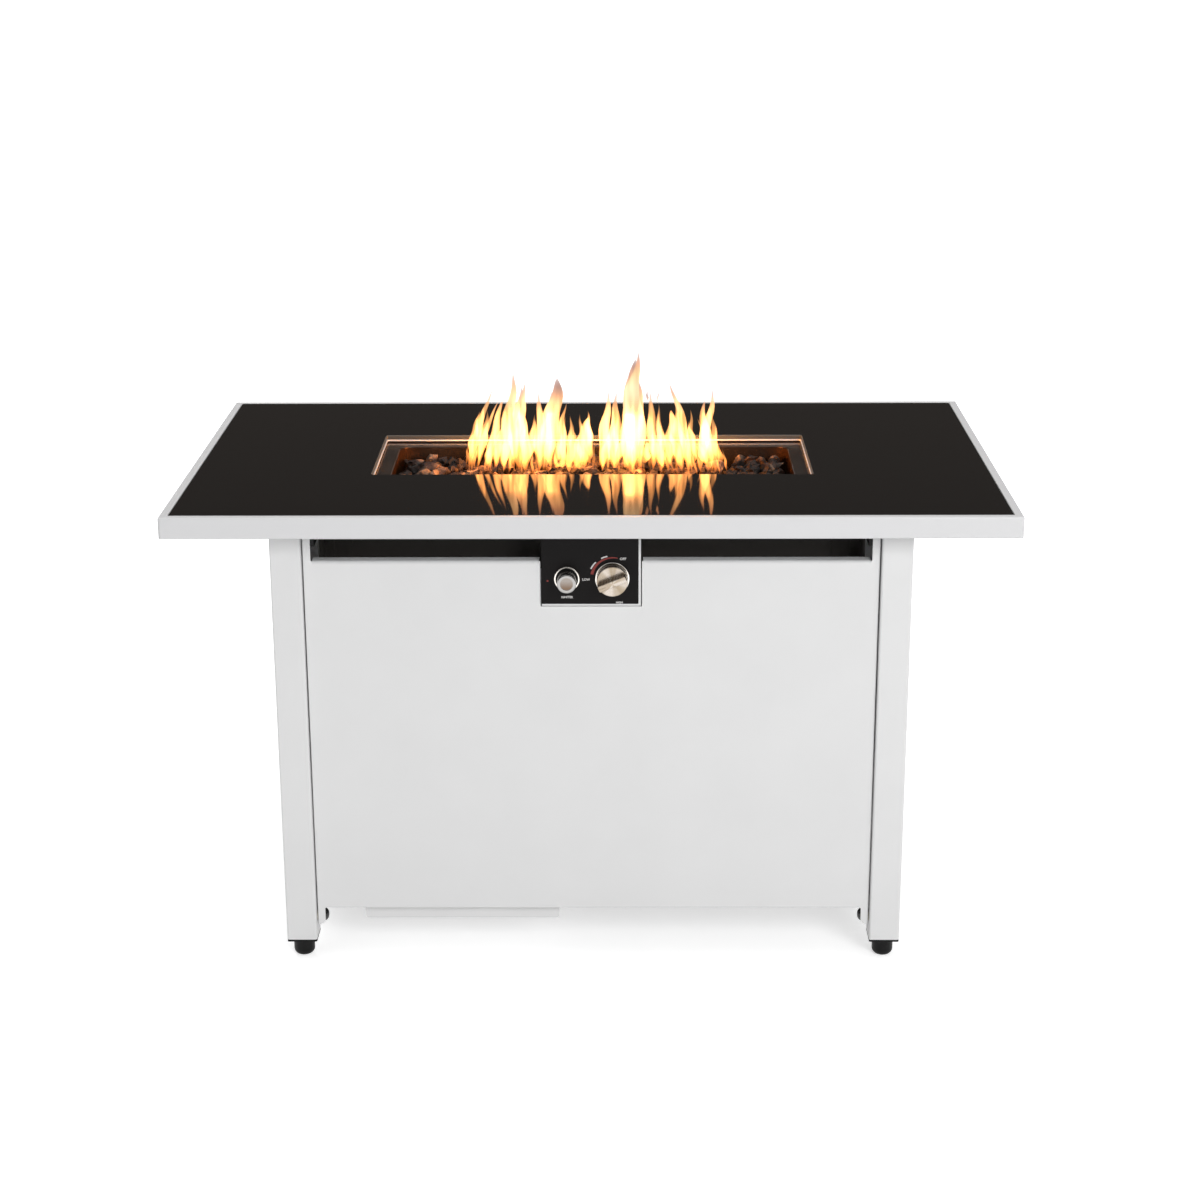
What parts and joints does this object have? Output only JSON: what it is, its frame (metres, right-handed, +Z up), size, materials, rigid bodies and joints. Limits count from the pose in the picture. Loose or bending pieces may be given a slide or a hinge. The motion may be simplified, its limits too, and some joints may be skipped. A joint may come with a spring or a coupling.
{
  "type": "fire pit table",
  "caption": "Rectangular propane fire pit table: white folded-steel base and rim, flush black glass top with a fire bowl of lava rock, drop-down front door, gas knob and push igniter",
  "frame": {"origin": "On the floor, under the middle of the table top.", "axes": "+X runs along the table to the right as seen from the front, +Y to the rear, +Z up. The door and the controls face -Y."},
  "size_m": [1.08, 0.64, 0.63],
  "materials": {
    "white_powder_coat": "satin powder coat, white",
    "black_glass": "polished black tempered glass",
    "silicone": "matt translucent silicone",
    "galvanised_steel": "dull zinc",
    "stainless_steel": "bright brushed",
    "lava_rock": "rough porous lava, dark red and grey",
    "white_ceramic": "matt",
    "black_powder_coat": "matt black powder coat",
    "black_plastic": "moulded, fine grain",
    "nylon": "natural nylon",
    "zinc_fastener": "bright zinc",
    "black_enamel": "gloss black enamel",
    "brass": "turned",
    "cast_aluminium": "die cast",
    "chromed_plastic": "bright",
    "gloss_black_plastic": "moulded, polished",
    "spring_steel": "drawn wire",
    "battery_wrap": "plain wrap",
    "red_lead": "silicone insulation",
    "copper": "drawn copper capillary",
    "aluminium_tube": "drawn, dull"
  },
  "bodies": {
    "table": {"top_rail_front": "white_powder_coat", "top_rail_rear": "white_powder_coat", "top_rail_left": "white_powder_coat", "top_rail_right": "white_powder_coat", "glass_top": "black_glass", "glass_pads": "silicone", "top_deck": "galvanised_steel", "top_crossmembers": "white_powder_coat", "fire_bowl": "stainless_steel", "burner_tube": "stainless_steel", "burner_supports": "stainless_steel", "air_mixer": "galvanised_steel", "gas_orifice": "brass", "lava_rocks": "lava_rock", "igniter_electrode": "white_ceramic", "thermocouple_probe": "stainless_steel", "probe_bracket": "stainless_steel", "heat_shield": "black_powder_coat", "leg_front_left": "white_powder_coat", "leg_front_right": "white_powder_coat", "leg_rear_left": "white_powder_coat", "leg_rear_right": "white_powder_coat", "foot_front_left": "black_plastic", "foot_front_right": "black_plastic", "foot_rear_left": "black_plastic", "foot_rear_right": "black_plastic", "lower_side_rails": "white_powder_coat", "lower_cross_rails": "white_powder_coat", "side_panel_left": "white_powder_coat", "side_panel_right": "white_powder_coat", "rear_panel": "white_powder_coat", "frame_bolts": "zinc_fastener", "small_screws": "zinc_fastener", "hinge_pins": "zinc_fastener", "hinge_washers": "nylon", "hinge_caps": "gloss_black_plastic", "magnet_catches": "black_plastic", "control_box": "white_powder_coat", "control_plate": "black_enamel", "valve_body": "cast_aluminium", "valve_nut": "zinc_fastener", "valve_spring": "spring_steel", "knob_bezel": "chromed_plastic", "gas_inlet": "brass", "feed_pipe": "aluminium_tube", "igniter_body": "black_plastic", "igniter_collar": "chromed_plastic", "igniter_spring": "spring_steel", "battery": "battery_wrap", "igniter_lead": "red_lead", "thermocouple_line": "copper", "tank_tray": "white_powder_coat"},
    "door": {"front_door": "white_powder_coat"},
    "stem_slider": {"stem_washer": "stainless_steel"},
    "knob": {"control_knob": "chromed_plastic", "valve_stem": "stainless_steel"},
    "igniter_cap": {"igniter_button": "chromed_plastic"},
    "clamp_slider": {"clamp_pad": "galvanised_steel"},
    "clamp": {"clamp_screw": "zinc_fastener", "clamp_knob": "black_plastic"}
  },
  "joints": [
    {"name": "door_hinge", "type": "hinge", "parent": "table", "child": "door", "pos_m": [0, -0.251, 0.057], "axis": [1, 0, 0], "range_deg": [0, 94]},
    {"name": "knob_push", "type": "slide", "parent": "table", "child": "stem_slider", "axis": [0, 1, 0], "range_m": [0, 0.003], "stiffness_N_per_m": 1500, "springref_m": -0.002, "deforming": ["valve_spring"]},
    {"name": "knob_turn", "type": "hinge", "parent": "stem_slider", "child": "knob", "pos_m": [0.027, -0.28, 0.534], "axis": [0, -1, 0], "range_deg": [-140, 82]},
    {"name": "igniter_press", "type": "slide", "parent": "table", "child": "igniter_cap", "axis": [0, 1, 0], "range_m": [0, 0.005], "stiffness_N_per_m": 900, "springref_m": -0.002, "deforming": ["igniter_spring"]},
    {"name": "clamp_travel", "type": "slide", "parent": "table", "child": "clamp_slider", "axis": [-1, 0, 0], "range_m": [0, 0.01]},
    {"name": "clamp_turn", "type": "hinge", "parent": "clamp_slider", "child": "clamp", "pos_m": [-0.045, 0, 0.059], "axis": [-1, 0, 0], "range_deg": [0, 2880]}
  ],
  "couplings": [
    {"joint": "clamp_turn", "follows": "clamp_travel", "rad_per_m": 5026.5}
  ]
}
